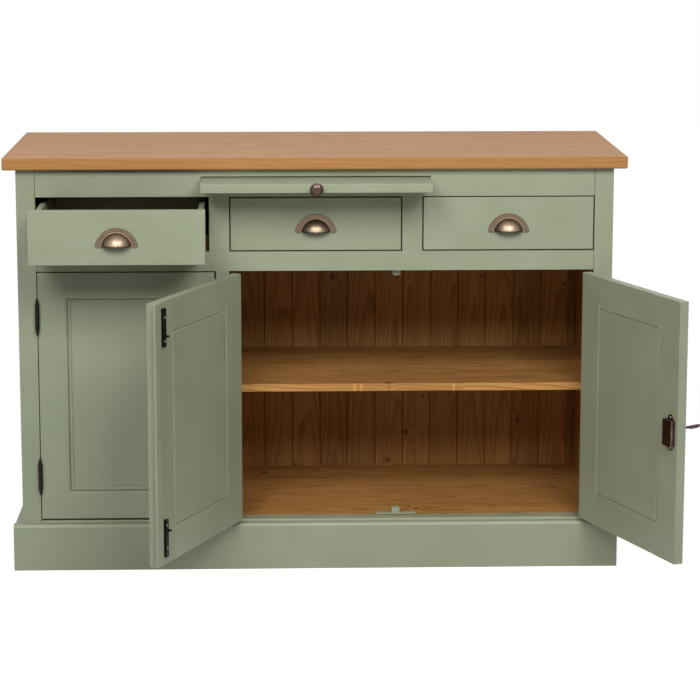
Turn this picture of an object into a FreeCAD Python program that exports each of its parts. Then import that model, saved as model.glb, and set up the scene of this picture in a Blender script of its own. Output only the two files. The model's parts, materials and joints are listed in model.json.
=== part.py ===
"""Credenza with three drawers, three framed doors, a pull-out board and an inside shelf.

Millimetres. X runs to the right, Y runs from the front to the back and Z runs up from the floor.
The origin is on the floor, under the middle of the carcass. The left drawer, the pull-out board
and the pair of doors are stored partly open.
"""
import FreeCAD
import Part

import math
import os

V = FreeCAD.Vector

# Overall sizes
top_width = 1400.0
top_depth = 535.0
overall_height = 950.0

# Top board
top_thickness = 27.0
top_edge_radius = 4.0
top_side_overhang = 28.0
top_front_overhang = 20.0

# Carcass
side_thickness = 20.0
bottom_thickness = 18.0
bottom_rise = 5.0
dust_board_thickness = 18.0
dust_board_drop = 6.0
partition_thickness = 16.0

# Tongue and groove back
back_thickness = 12.0
back_inset = 12.0
back_board_width = 68.5
first_back_board = 52.0
back_bottom = 60.0
back_joint_gap = 0.5
back_bevel = 2.0
tongue_length = 6.0
tongue_thickness = 4.0
tongue_clearance = 0.3

# Front frame
frame_thickness = 22.0
stile_width = 42.0
divider_width = 30.0
mullion_width = 45.0
bottom_rail_height = 42.0
bottom_rail_reveal = 5.0
middle_rail_height = 44.0
drawer_opening_height = 125.0
top_rail_height = 63.0
left_door_opening = 404.0

# Plinth and floor bearers
plinth_height = 107.0
plinth_thickness = 20.0
plinth_chamfer = 5.5
bearer_thickness = 18.0
bearer_setback = 15.0
cleat_size = 20.0

# Shelves
shelf_thickness = 18.5
shelf_lift = 302.0
shelf_setback = 48.0
shelf_clearance = 1.0
shelf_edge_radius = 2.0
batten_height = 20.0
batten_width = 15.0
batten_setback = 60.0
batten_rear_gap = 31.0

# Drawers
drawer_gap = 2.4
drawer_front_thickness = 20.0
drawer_front_radius = 2.0
drawer_side_inset = 7.5
drawer_side_thickness = 12.0
drawer_side_height = 108.0
drawer_back_height = 96.0
drawer_rear_gap = 31.0
drawer_bottom_thickness = 6.0
drawer_bottom_lift = 10.0
drawer_groove_depth = 5.0
drawer_run_clearance = 0.4
guide_clearance = 1.0
guide_height = 41.0
left_drawer_out = 196.0

# Cup pulls
pull_lift = 36.1
pull_radius = 47.0
pull_thickness = 2.6
pull_flange_width = 14.5
pull_depth = 23.0
pull_wall = 2.0
pull_foot_radius = 5.0
ridge_radius = 1.3

# Pull-out board
board_width = 513.0
board_thickness = 20.0
board_rear_gap = 51.0
board_drop = 39.5
board_edge_radius = 2.0
board_side_clearance = 1.5
board_face_clearance = 0.8
board_top_gap = 2.4
board_out = 118.0
runner_width = 36.0
runner_height = 53.0
runner_groove_depth = 12.0

# Board knob
knob_radius = 15.0
knob_base_radius = 8.5
knob_base_length = 3.0
knob_neck_radius = 6.0
knob_neck_length = 10.0
knob_length = 25.0
knob_face_radius = 8.0

# Doors
door_thickness = 21.0
door_gap = 2.0
door_top_gap = 2.8
door_bottom_gap = 5.0
left_door_free_gap = 3.5
meeting_gap = 3.0
door_stile_width = 60.0
door_top_rail_width = 55.0
door_bottom_rail_width = 58.0
door_tenon_length = 40.0
door_tenon_thickness = 8.0
door_tenon_shoulder = 8.0
panel_sink = 9.0
panel_tongue_length = 7.0
panel_tongue_inset = 3.0
panel_tongue_thickness = 6.0
panel_groove_width = 2.2
panel_groove_depth = 2.5
moulding_width = 15.5
moulding_start_sink = 0.5
moulding_shoulder_width = 4.7
moulding_shoulder_sink = 2.0
moulding_slope_width = 4.8
moulding_flat_width = 3.4
moulding_flat_sink = 7.0
moulding_lip = 0.8
middle_door_angle = 115.0
right_door_angle = 112.5

# Hinges
hinge_height = 60.0
hinge_inset_top = 100.0
hinge_inset_bottom = 101.0
hinge_barrel_radius = 5.0
hinge_pin_proud = 8.0
hinge_pin_radius = 2.5
hinge_pin_clearance = 0.05
hinge_knuckle_gap = 0.3
hinge_leaf_thickness = 1.5
hinge_leaf_reveal = 1.0
finial_length = 14.0
finial_base_radius = 4.4
finial_tip_radius = 1.8

# Meeting strip and slide bolts of the middle door
strip_width = 25.0
strip_thickness = 5.0
strip_overlap = 7.0
strip_top_gap = 1.0
strip_bottom_gap = 3.0
bolt_setback = 32.0
bolt_case_width = 12.0
bolt_case_length = 82.0
bolt_cover_thickness = 1.1
bolt_bar_width = 7.0
bolt_bar_thickness = 2.4
bolt_bar_lift = 2.2
bolt_bar_clearance = 0.3
bolt_bar_inset = 1.0
bolt_travel = 12.0
bolt_lever_radius = 2.5
bolt_lever_reach = 9.0
bolt_lever_setback = 59.0
keeper_width = 18.0
keeper_depth = 12.5
keeper_drop = 15.0
keeper_rise = 15.0
keeper_height = 35.0
keeper_corner_radius = 4.0
keeper_foot_width = 90.0
keeper_foot_thickness = 2.0
bolt_keeper_gap = 2.0
keeper_hole_clearance = 0.5
keeper_hole_spare = 1.0

# Locks and keys
lock_width = 34.0
lock_height = 57.0
lock_depth = 10.6
lock_wall = 1.5
lock_lug_radius = 9.5
lock_lug_reach = 1.5
lock_lift = 285.0
lock_edge_inset = 2.0
lock_bolt_throw = 8.0
lock_bolt_hold = 20.0
lock_bolt_height = 16.0
lock_bolt_thickness = 3.0
lock_bolt_lift = 5.6
lock_slide_clearance = 0.4
key_backset = 17.0
key_above_center = 7.0
key_radius = 3.0
keyhole_clearance = 0.6
key_inside_length = 5.0
key_outside_length = 26.0
key_collar_radius = 4.6
key_collar_length = 3.0
key_collar_gap = 2.0
key_bit_length = 9.0
key_bit_thickness = 2.0
key_bit_depth = 4.0
keyhole_slot_clearance = 0.5
bow_radius = 12.0
bow_wire_radius = 2.2
bow_tilt = 16.0

# Lengths closer than this count as equal
match = 0.001

# Derived places
top_underside = overall_height - top_thickness
carcass_width = top_width - 2 * top_side_overhang
carcass_depth = top_depth - 2 * top_front_overhang
front = -carcass_depth / 2
rear = carcass_depth / 2
half = carcass_width / 2
inner = half - side_thickness
back_front = rear - back_inset - back_thickness
frame_back = front + frame_thickness
opening_left = -half + stile_width
opening_right = half - stile_width
divider_left = opening_left + left_door_opening
divider_right = divider_left + divider_width
partition_left = (divider_left + divider_right - partition_thickness) / 2
partition_right = partition_left + partition_thickness
top_rail_bottom = top_underside - top_rail_height
middle_rail_top = top_rail_bottom - drawer_opening_height
middle_rail_bottom = middle_rail_top - middle_rail_height
bottom_rail_top = plinth_height + bottom_rail_reveal
bottom_rail_bottom = bottom_rail_top - bottom_rail_height
bottom_top = bottom_rail_top + bottom_rise
dust_board_top = middle_rail_top - dust_board_drop
dust_board_underside = dust_board_top - dust_board_thickness
door_bottom = bottom_rail_top + door_bottom_gap
door_top = middle_rail_bottom - door_top_gap
door_back = front + door_thickness

os.makedirs("parts", exist_ok=True)


def box(x0, x1, y0, y1, z0, z1):
    """A block between two opposite corners."""
    return Part.makeBox(x1 - x0, y1 - y0, z1 - z0, V(x0, y0, z0))


def rod(radius, length, start, direction):
    """A cylinder from a start point along a direction."""
    return Part.makeCylinder(radius, length, start, direction)


def prism(points, direction):
    """A solid swept along a direction from a closed outline."""
    outline = Part.makePolygon(points + [points[0]])
    return Part.Face(outline).extrude(direction)


def rounded(shape, radius, wanted):
    """The shape with a round on each edge that the test picks."""
    edges = [edge for edge in shape.Edges if wanted(edge)]
    return shape.makeFillet(radius, edges)


def lies_at(edge, axis, value):
    """True where both ends of an edge lie in the plane at a value along an axis."""
    return all(abs(getattr(vertex.Point, axis) - value) < match for vertex in edge.Vertexes)


def save(name, shapes):
    """Write one node as one file of separate solids."""
    solids = []
    for shape in shapes:
        solids.extend(shape.Solids)
    whole = solids[0] if len(solids) == 1 else Part.makeCompound(solids)
    whole.exportStep("parts/" + name + ".step")


def moved(shapes, shift):
    """Copies of the shapes moved by a vector."""
    result = []
    for shape in shapes:
        copy = shape.copy()
        copy.translate(shift)
        result.append(copy)
    return result


def turned(shapes, pivot, degrees):
    """Copies of the shapes turned about an upright line through a point."""
    result = []
    for shape in shapes:
        copy = shape.copy()
        copy.rotate(pivot, V(0, 0, 1), degrees)
        result.append(copy)
    return result


# Hinges: each is two leaves on one pin, with the frame holding the outer knuckles
knuckle_length = hinge_height / 3
hinge_leaf_depth = door_thickness - hinge_leaf_reveal
hinge_heights = [door_bottom + hinge_inset_bottom, door_top - hinge_inset_top]


def hinge_pin_x(edge_x, side):
    """The pin stands in the middle of the gap; side is +1 where the door is to the right."""
    return edge_x + side * door_gap / 2


def knuckle(pin_x, bottom, length, bore):
    """A tube round the pin, or a solid barrel where the pin is one with it."""
    centre = V(pin_x, front - hinge_pin_proud, bottom)
    tube = rod(hinge_barrel_radius, length, centre, V(0, 0, 1))
    hole = rod(bore, length, centre, V(0, 0, 1))
    return tube.cut(hole)


def leaf_box(wood_x, into, height):
    """The plate let into an upright edge; into is the direction into the wood along X."""
    x0, x1 = sorted([wood_x, wood_x + into * hinge_leaf_thickness])
    low = height - hinge_height / 2
    return box(x0, x1, front, front + hinge_leaf_depth, low, low + hinge_height)


def leaf(wood_x, into, pin_x, height, bottoms, length, bore):
    """A plate with webs that carry its own knuckles."""
    plate = leaf_box(wood_x, into, height)
    x0, x1 = sorted([wood_x, wood_x + into * hinge_leaf_thickness])
    for bottom in bottoms:
        web = box(x0, x1, front - hinge_pin_proud, front, bottom, bottom + length)
        hole = rod(bore, length, V(pin_x, front - hinge_pin_proud, bottom), V(0, 0, 1))
        plate = plate.fuse(web.cut(hole))
        plate = plate.fuse(knuckle(pin_x, bottom, length, bore))
    return plate.removeSplitter()


def frame_leaf(edge_x, side, height):
    """The frame's half: the lower and upper knuckles."""
    low = height - hinge_height / 2
    bottoms = [low, low + 2 * knuckle_length]
    pin_x = hinge_pin_x(edge_x, side)
    return leaf(edge_x, -side, pin_x, height, bottoms, knuckle_length, hinge_pin_radius)


def door_leaf(edge_x, side, height):
    """The door's half: the middle knuckle, free to turn on the pin."""
    bottom = height - knuckle_length / 2 + hinge_knuckle_gap
    length = knuckle_length - 2 * hinge_knuckle_gap
    wood_x = edge_x + side * door_gap
    bore = hinge_pin_radius + hinge_pin_clearance
    return leaf(wood_x, side, hinge_pin_x(edge_x, side), height, [bottom], length, bore)


def hinge_pin(edge_x, side, height):
    """A pin with a tapered finial at each end."""
    pin_x = hinge_pin_x(edge_x, side)
    y = front - hinge_pin_proud
    low = height - hinge_height / 2
    shape = rod(hinge_pin_radius, hinge_height, V(pin_x, y, low), V(0, 0, 1))
    for start, up in ((low + hinge_height, 1), (low, -1)):
        cone = Part.makeCone(finial_base_radius, finial_tip_radius, finial_length,
                             V(pin_x, y, start), V(0, 0, up))
        shape = shape.fuse(cone)
    return shape.removeSplitter()


hinge_edges = {"left": (opening_left, 1), "middle": (divider_right, 1), "right": (opening_right, -1)}
frame_leaves = []
pins = []
for edge_x, side in hinge_edges.values():
    for height in hinge_heights:
        frame_leaves.append(frame_leaf(edge_x, side, height))
        pins.append(hinge_pin(edge_x, side, height))
save("hinge_frame_leaves", frame_leaves)
save("hinge_pins", pins)


def hinge_recess(shape, edge_x, side):
    """Cut the seats of the frame leaves from an upright of the frame."""
    for height in hinge_heights:
        shape = shape.cut(leaf_box(edge_x, -side, height))
    return shape


# Top board
top = box(-top_width / 2, top_width / 2, -top_depth / 2, top_depth / 2,
          top_underside, overall_height)
top = rounded(top, top_edge_radius,
              lambda edge: lies_at(edge, "z", top_underside) or lies_at(edge, "z", overall_height))
save("top_board", [top])

# Sides, bottom, dust board and partition
save("side_panels", [
    box(-half, -inner, frame_back, rear, 0, top_underside),
    box(inner, half, frame_back, rear, 0, top_underside),
])
save("bottom_board", [box(-inner, inner, frame_back, back_front, bottom_top - bottom_thickness, bottom_top)])
save("dust_board", [box(-inner, inner, frame_back, back_front, dust_board_underside, dust_board_top)])
save("partition", [
    box(partition_left, partition_right, frame_back, back_front, bottom_top, dust_board_underside),
])


def back_board(left, right, has_groove, has_tongue):
    """One upright board with a bevel at each front edge, a groove on the left and a tongue on the right."""
    y0 = back_front
    y1 = back_front + back_thickness
    middle = (y0 + y1) / 2
    outline = [
        V(left + back_bevel, y0, back_bottom),
        V(right - back_bevel, y0, back_bottom),
        V(right, y0 + back_bevel, back_bottom),
        V(right, y1, back_bottom),
        V(left, y1, back_bottom),
        V(left, y0 + back_bevel, back_bottom),
    ]
    height = top_underside - back_bottom
    board = prism(outline, V(0, 0, height))
    reach = tongue_thickness / 2
    if has_groove:
        wide = reach + tongue_clearance
        slot = box(left, left + tongue_length + tongue_clearance, middle - wide, middle + wide,
                   back_bottom, top_underside)
        board = board.cut(slot)
    if has_tongue:
        tongue = box(right, right + tongue_length, middle - reach, middle + reach,
                     back_bottom, top_underside)
        board = board.fuse(tongue).removeSplitter()
    return board


back_boards = []
left = -inner
seam = left + first_back_board
while left < inner:
    right = min(seam, inner)
    is_last = right >= inner
    if inner - right < tongue_length:
        right = inner
        is_last = True
    edge = right if is_last else right - back_joint_gap
    back_boards.append(back_board(left, edge, left > -inner, not is_last))
    left = right
    seam = seam + back_board_width
save("back_boards", back_boards)

# Front frame
left_stile = hinge_recess(box(-half, opening_left, front, frame_back, 0, top_underside), opening_left, 1)
right_stile = hinge_recess(box(opening_right, half, front, frame_back, 0, top_underside), opening_right, -1)
save("front_stiles", [left_stile, right_stile])
for name, low, high in (("middle_rail", middle_rail_bottom, middle_rail_top),
                        ("bottom_rail", bottom_rail_bottom, bottom_rail_top)):
    save(name, [box(opening_left, opening_right, front, frame_back, low, high)])
divider = box(divider_left, divider_right, front, frame_back, bottom_rail_top, middle_rail_bottom)
save("divider_stile", [hinge_recess(divider, divider_right, 1)])

drawer_opening_width = (opening_right - opening_left - 2 * mullion_width) / 3
drawer_pitch = drawer_opening_width + mullion_width
drawer_centres = {"left": -drawer_pitch, "middle": 0.0, "right": drawer_pitch}
mullions = []
for side in (-1, 1):
    centre = side * drawer_pitch / 2
    mullions.append(box(centre - mullion_width / 2, centre + mullion_width / 2, front, frame_back,
                        middle_rail_top, top_rail_bottom))
save("drawer_mullions", mullions)

board_underside = top_underside - board_drop
slot_half = board_width / 2 + board_side_clearance
slot_low = board_underside - board_face_clearance
slot_high = board_underside + board_thickness + board_top_gap
groove_high = board_underside + board_thickness + board_face_clearance
top_rail = box(opening_left, opening_right, front, frame_back, top_rail_bottom, top_underside)
top_rail = top_rail.cut(box(-slot_half, slot_half, front, frame_back, slot_low, slot_high))
save("top_rail", [top_rail])

# Plinth, with an eased upper edge, and the bearers under the bottom board
plinth_left = -half - plinth_thickness
plinth_right = half + plinth_thickness
plinth_front = prism([
    V(plinth_left, front, 0),
    V(plinth_left, front - plinth_thickness, 0),
    V(plinth_left, front - plinth_thickness, plinth_height - plinth_chamfer),
    V(plinth_left, front - plinth_thickness + plinth_chamfer, plinth_height),
    V(plinth_left, front, plinth_height),
], V(plinth_right - plinth_left, 0, 0))
plinth = [plinth_front]
for side in (-1, 1):
    outline = [
        V(side * half, front, 0),
        V(side * (half + plinth_thickness), front, 0),
        V(side * (half + plinth_thickness), front, plinth_height - plinth_chamfer),
        V(side * (half + plinth_thickness - plinth_chamfer), front, plinth_height),
        V(side * half, front, plinth_height),
    ]
    plinth.append(prism(outline, V(0, carcass_depth, 0)))
save("plinth_boards", plinth)
bottom_underside = bottom_top - bottom_thickness
bearer_front = frame_back + bearer_setback
bearer_rear = back_front - bearer_setback
cleat_low = bottom_underside - cleat_size
save("floor_bearers", [
    box(-bearer_thickness / 2, bearer_thickness / 2, bearer_front, bearer_rear, 0, bottom_underside),
    box(-inner, -inner + cleat_size, bearer_front, bearer_rear, cleat_low, bottom_underside),
    box(inner - cleat_size, inner, bearer_front, bearer_rear, cleat_low, bottom_underside),
])

# Shelves on battens
shelf_top = bottom_top + shelf_lift
shelf_low = shelf_top - shelf_thickness
shelf_front = front + shelf_setback
shelves = []
battens = []
for x0, x1 in ((-inner, partition_left), (partition_right, inner)):
    shelf = box(x0 + shelf_clearance, x1 - shelf_clearance, shelf_front, back_front - shelf_clearance,
                shelf_low, shelf_top)
    shelves.append(rounded(shelf, shelf_edge_radius,
                           lambda edge: lies_at(edge, "y", shelf_front)
                           and (lies_at(edge, "z", shelf_low) or lies_at(edge, "z", shelf_top))))
    for start in (x0, x1 - batten_width):
        battens.append(box(start, start + batten_width, front + batten_setback,
                           back_front - batten_rear_gap, shelf_low - batten_height, shelf_low))
save("shelves", shelves)
save("shelf_battens", battens)

# Drawers and the guides between them
box_half = drawer_opening_width / 2 - drawer_gap - drawer_side_inset
guide_edges = [-inner]
for name in ("left", "middle", "right"):
    guide_edges.append(drawer_centres[name] - box_half - guide_clearance)
    guide_edges.append(drawer_centres[name] + box_half + guide_clearance)
guide_edges.append(inner)
guides = []
for index in range(0, len(guide_edges), 2):
    guides.append(box(guide_edges[index], guide_edges[index + 1], frame_back, back_front,
                      dust_board_top, dust_board_top + guide_height))
for name in ("left", "middle", "right"):
    for side in (-1, 1):
        edge = drawer_centres[name] + side * box_half
        x0, x1 = sorted([edge, edge - side * 2 * drawer_side_thickness])
        guides.append(box(x0, x1, frame_back, back_front, dust_board_top, middle_rail_top))
save("drawer_guides", guides)


def cup_pull(centre_x):
    """A half-round plate with a ridge and a hollow half-dome, open underneath."""
    base = middle_rail_top + drawer_gap + pull_lift
    at = V(centre_x, front, base)
    dome_radius = pull_radius - pull_flange_width
    upper = box(centre_x - 2 * pull_radius, centre_x + 2 * pull_radius, front - 4 * pull_depth, front,
                base, base + 2 * pull_radius)
    plate = rod(pull_radius, pull_thickness, at, V(0, -1, 0))
    plate = plate.cut(rod(dome_radius - pull_wall, pull_thickness, at, V(0, -1, 0))).common(upper)
    plate = rounded(plate, pull_foot_radius, lambda edge: abs(edge.Length - pull_thickness) < match)
    ball_radius = (dome_radius ** 2 + pull_depth ** 2) / (2 * pull_depth)
    middle = V(centre_x, front - pull_depth + ball_radius, base)
    dome = Part.makeSphere(ball_radius, middle).cut(Part.makeSphere(ball_radius - pull_wall, middle))
    shape = plate.fuse(dome.common(upper))
    ring = Part.makeTorus(dome_radius + ridge_radius, ridge_radius,
                          V(centre_x, front - pull_thickness, base), V(0, 1, 0))
    return shape.fuse(ring.common(upper)).removeSplitter()


def drawer(name, out):
    """A front, a box of sides and back, a let-in bottom and a cup pull."""
    centre = drawer_centres[name]
    low = middle_rail_top + drawer_gap
    high = top_rail_bottom - drawer_gap
    side_low = middle_rail_top + drawer_run_clearance
    front_half = drawer_opening_width / 2 - drawer_gap
    joint = front + drawer_front_thickness
    end = back_front - drawer_rear_gap
    face = box(centre - front_half, centre + front_half, front, joint, low, high)
    face = rounded(face, drawer_front_radius, lambda edge: lies_at(edge, "y", front))
    bottom_low = side_low + drawer_bottom_lift
    bottom = box(centre - box_half + drawer_side_thickness - drawer_groove_depth,
                 centre + box_half - drawer_side_thickness + drawer_groove_depth,
                 joint - drawer_groove_depth, end, bottom_low, bottom_low + drawer_bottom_thickness)
    walls = []
    for side in (-1, 1):
        x0, x1 = sorted([centre + side * box_half, centre + side * (box_half - drawer_side_thickness)])
        walls.append(box(x0, x1, joint, end, side_low, side_low + drawer_side_height))
    back_low = bottom_low + drawer_bottom_thickness
    walls.append(box(centre - box_half + drawer_side_thickness, centre + box_half - drawer_side_thickness,
                     end - drawer_side_thickness, end, back_low, side_low + drawer_back_height))
    shift = V(0, -out, 0)
    save(name + "_drawer_front", moved([face.cut(bottom)], shift))
    save(name + "_drawer_box", moved([wall.cut(bottom) for wall in walls], shift))
    save(name + "_drawer_bottom", moved([bottom], shift))
    save(name + "_cup_pull", moved([cup_pull(centre)], shift))


drawer("left", left_drawer_out)
drawer("middle", 0)
drawer("right", 0)

# Pull-out board, its grooved runners and its knob
runner_solids = []
for side in (-1, 1):
    groove_x = board_width / 2 + board_side_clearance
    inside = groove_x - runner_groove_depth
    x0, x1 = sorted([side * inside, side * (inside + runner_width)])
    g0, g1 = sorted([side * inside, side * groove_x])
    runner = box(x0, x1, frame_back, back_front, top_underside - runner_height, top_underside)
    runner_solids.append(runner.cut(box(g0, g1, frame_back, back_front, slot_low, groove_high)))
save("board_runners", runner_solids)
board = box(-board_width / 2, board_width / 2, front, back_front - board_rear_gap,
            board_underside, board_underside + board_thickness)
board = rounded(board, board_edge_radius, lambda edge: lies_at(edge, "y", front))
save("pull_out_board", moved([board], V(0, -board_out, 0)))

knob_height = board_underside + board_thickness / 2


def knob_point(radius, reach):
    """A point of the knob's half outline, at a radius from its axis and a reach from the board."""
    return V(radius, front - reach, knob_height)


knob_corners = [
    knob_point(0, knob_length),
    knob_point(0, 0),
    knob_point(knob_base_radius, 0),
    knob_point(knob_base_radius, knob_base_length),
    knob_point(knob_neck_radius, 2 * knob_base_length),
    knob_point(knob_neck_radius, knob_neck_length),
]
knob_edge = knob_point(knob_face_radius, knob_length)
knob_bulge = knob_point(knob_radius, (knob_neck_length + knob_length) / 2)
knob_outline = Part.makePolygon(knob_corners).Edges
knob_outline.append(Part.Arc(knob_corners[-1], knob_bulge, knob_edge).toShape())
knob_outline.append(Part.makeLine(knob_edge, knob_corners[0]))
knob_face = Part.Face(Part.Wire(knob_outline))
knob = knob_face.revolve(V(0, front, knob_height), V(0, 1, 0), 360)
save("board_knob", moved([knob], V(0, -board_out, 0)))


def moulding(x0, x1, z0, z1):
    """Four mitred strips in the rebate of a door frame, sloping down to the panel."""
    depth = panel_sink
    slope_end = moulding_shoulder_width + moulding_slope_width
    steps = [
        (0.0, moulding_start_sink),
        (moulding_shoulder_width, moulding_shoulder_sink),
        (slope_end, moulding_flat_sink),
        (slope_end + moulding_flat_width, moulding_flat_sink),
        (moulding_width, depth - moulding_lip),
        (moulding_width, depth),
        (0.0, depth),
    ]
    corners = [(x0, z0), (x1, z0), (x1, z1), (x0, z1)]
    strips = []
    for index in range(4):
        ax, az = corners[index]
        bx, bz = corners[(index + 1) % 4]
        along = V(bx - ax, 0, bz - az)
        length = along.Length
        along.normalize()
        inward = V(-along.z, 0, along.x)
        outline = [V(ax, front + sink, az) + inward * step for step, sink in steps]
        strip = prism(outline, along * length)
        reach = 2 * moulding_width
        first = V(ax, front, az)
        last = V(bx, front, bz)
        wedge = prism([first, last, last + (inward - along) * reach, first + (inward + along) * reach],
                      V(0, depth, 0))
        strips.append(strip.common(wedge))
    return strips


def keyhole(centre_x, height):
    """A round hole with a slot below it, right through a door."""
    start = V(centre_x, front, height)
    hole = rod(key_radius + keyhole_clearance, door_thickness, start, V(0, 1, 0))
    slot_half_width = key_bit_thickness / 2 + keyhole_slot_clearance
    slot = box(centre_x - slot_half_width, centre_x + slot_half_width, front, front + door_thickness,
               height - key_radius - key_bit_length - keyhole_slot_clearance, height)
    return hole.fuse(slot)


def lock(name, free_x, inward, inset, place):
    """A box lock on a door's inner face with its bolt and key; inward points from the free edge."""
    near = free_x + inward * inset
    far = near + inward * lock_width
    x0, x1 = sorted([near, far])
    centre = door_bottom + lock_lift
    z0 = centre - lock_height / 2
    z1 = centre + lock_height / 2
    outside = box(x0, x1, door_back, door_back + lock_depth, z0, z1)
    hollow = box(x0 + lock_wall, x1 - lock_wall, door_back, door_back + lock_depth - lock_wall,
                 z0 + lock_wall, z1 - lock_wall)
    case = outside.cut(hollow)
    middle = (x0 + x1) / 2
    for edge_z, way in ((z0, -1), (z1, 1)):
        lug_z = edge_z + way * lock_lug_reach
        low, high = sorted([edge_z, lug_z])
        neck = box(middle - lock_lug_radius, middle + lock_lug_radius, door_back, door_back + lock_wall,
                   low, high)
        lug = rod(lock_lug_radius, lock_wall, V(middle, door_back, lug_z), V(0, 1, 0)).fuse(neck)
        case = case.fuse(lug.cut(hollow))
    bolt_y = door_back + lock_bolt_lift
    tail = near + inward * (lock_bolt_throw + lock_bolt_hold)
    b0, b1 = sorted([near, tail])
    bolt_low = centre - lock_bolt_height / 2
    bolt_high = centre + lock_bolt_height / 2
    bolt = box(b0, b1, bolt_y, bolt_y + lock_bolt_thickness, bolt_low, bolt_high)
    s0, s1 = sorted([near, near + inward * lock_wall])
    gap = lock_slide_clearance
    slot = box(s0, s1, bolt_y - gap, bolt_y + lock_bolt_thickness + gap, bolt_low - gap, bolt_high + gap)
    case = case.cut(slot).removeSplitter()
    key_x = near + inward * key_backset
    key_z = centre + key_above_center
    tip = V(key_x, door_back + key_inside_length, key_z)
    length = key_inside_length + door_thickness + key_outside_length
    key = rod(key_radius, length, tip, V(0, -1, 0))
    collar_start = V(key_x, front - key_collar_gap, key_z)
    key = key.fuse(rod(key_collar_radius, key_collar_length, collar_start, V(0, -1, 0)))
    k0, k1 = sorted([key_x, key_x + inward * (key_radius + key_bit_length)])
    bit_end = door_back + key_inside_length
    key = key.fuse(box(k0, k1, bit_end - key_bit_depth, bit_end, key_z - key_bit_thickness / 2,
                       key_z + key_bit_thickness / 2))
    bow_y = front - key_outside_length - bow_radius
    tilt = math.radians(bow_tilt)
    bow_axis = V(math.sin(tilt), 0, math.cos(tilt))
    key = key.fuse(Part.makeTorus(bow_radius, bow_wire_radius, V(key_x, bow_y, key_z), bow_axis))
    save(name + "_lock_case", place([case]))
    save(name + "_lock_bolt", place([bolt]))
    save(name + "_key", place([key.removeSplitter()]))
    return keyhole(key_x, key_z)


def door(name, x0, x1, edge_x, side, holes, place):
    """A mortised frame, rebated outside for a moulding, with a panel that is flush inside."""
    z0 = door_bottom
    z1 = door_top
    rebate_x0 = x0 + door_stile_width
    rebate_x1 = x1 - door_stile_width
    rebate_z0 = z0 + door_bottom_rail_width
    rebate_z1 = z1 - door_top_rail_width
    rebate_y = front + panel_sink
    panel_x0 = rebate_x0 + moulding_width
    panel_x1 = rebate_x1 - moulding_width
    panel_z0 = rebate_z0 + moulding_width
    panel_z1 = rebate_z1 - moulding_width
    tongue_y = rebate_y + panel_tongue_inset
    reach = panel_tongue_length
    panel = box(panel_x0, panel_x1, rebate_y, door_back, panel_z0, panel_z1)
    tongue = box(panel_x0 - reach, panel_x1 + reach, tongue_y, tongue_y + panel_tongue_thickness,
                 panel_z0 - reach, panel_z1 + reach)
    rim = panel_groove_width
    groove = box(panel_x0, panel_x1, door_back - panel_groove_depth, door_back, panel_z0, panel_z1)
    groove = groove.cut(box(panel_x0 + rim, panel_x1 - rim, door_back - panel_groove_depth, door_back,
                            panel_z0 + rim, panel_z1 - rim))
    panel = panel.fuse(tongue).cut(groove).removeSplitter()
    rebate = box(rebate_x0, rebate_x1, front, rebate_y, rebate_z0, rebate_z1)
    tenon_y = front + (door_thickness - door_tenon_thickness) / 2
    rails = []
    for low, high, tenon_low, tenon_high in ((z0, panel_z0, z0, rebate_z0), (panel_z1, z1, rebate_z1, z1)):
        rail = box(panel_x0, panel_x1, front, door_back, low, high)
        tenon = box(panel_x0 - door_tenon_length, panel_x1 + door_tenon_length,
                    tenon_y, tenon_y + door_tenon_thickness,
                    tenon_low + door_tenon_shoulder, tenon_high - door_tenon_shoulder)
        rails.append(rail.fuse(tenon).cut(tongue).cut(rebate).removeSplitter())
    stiles = []
    for low, high in ((x0, panel_x0), (panel_x1, x1)):
        stile = box(low, high, front, door_back, z0, z1).cut(tongue).cut(rebate)
        for rail in rails:
            stile = stile.cut(rail)
        for height in hinge_heights:
            stile = stile.cut(leaf_box(edge_x + side * door_gap, side, height))
        for hole in holes:
            stile = stile.cut(hole)
        stiles.append(stile)
    save(name + "_door_stiles", place(stiles))
    save(name + "_door_rails", place(rails))
    save(name + "_door_panel", place([panel]))
    save(name + "_door_moulding", place(moulding(rebate_x0, rebate_x1, rebate_z0, rebate_z1)))
    save(name + "_door_hinge_leaves", place([door_leaf(edge_x, side, height) for height in hinge_heights]))


def closed(shapes):
    """The left door is stored shut."""
    return shapes


def middle_place(shapes):
    """The middle door is stored open, turned about its left pin."""
    return turned(shapes, V(hinge_pin_x(divider_right, 1), front - hinge_pin_proud, 0), -middle_door_angle)


def right_place(shapes):
    """The right door is stored open, turned about its right pin."""
    return turned(shapes, V(hinge_pin_x(opening_right, -1), front - hinge_pin_proud, 0), right_door_angle)


pair_door_width = (opening_right - divider_right - 2 * door_gap - meeting_gap) / 2
left_x0 = opening_left + door_gap
left_x1 = divider_left - left_door_free_gap
middle_x0 = divider_right + door_gap
middle_x1 = middle_x0 + pair_door_width
right_x0 = middle_x1 + meeting_gap
right_x1 = right_x0 + pair_door_width

left_hole = lock("left", left_x1, -1, lock_edge_inset, closed)
right_hole = lock("right", right_x0, 1, strip_overlap + lock_edge_inset, right_place)
door("left", left_x0, left_x1, opening_left, 1, [left_hole], closed)
door("middle", middle_x0, middle_x1, divider_right, 1, [], middle_place)
door("right", right_x0, right_x1, opening_right, -1, [right_hole], right_place)

# Meeting strip on the middle door, lapping behind the right door
strip_right = right_x0 + strip_overlap
strip = box(strip_right - strip_width, strip_right, door_back, door_back + strip_thickness,
            door_bottom + strip_bottom_gap, door_top - strip_top_gap)
save("meeting_strip", middle_place([strip]))

# Slide bolts on the middle door and their keepers on the carcass
bolt_x = middle_x1 - bolt_setback
bar_front = door_back + bolt_bar_lift
bar_back = bar_front + bolt_bar_thickness
case_back = bar_back + bolt_bar_clearance + bolt_cover_thickness


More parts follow.
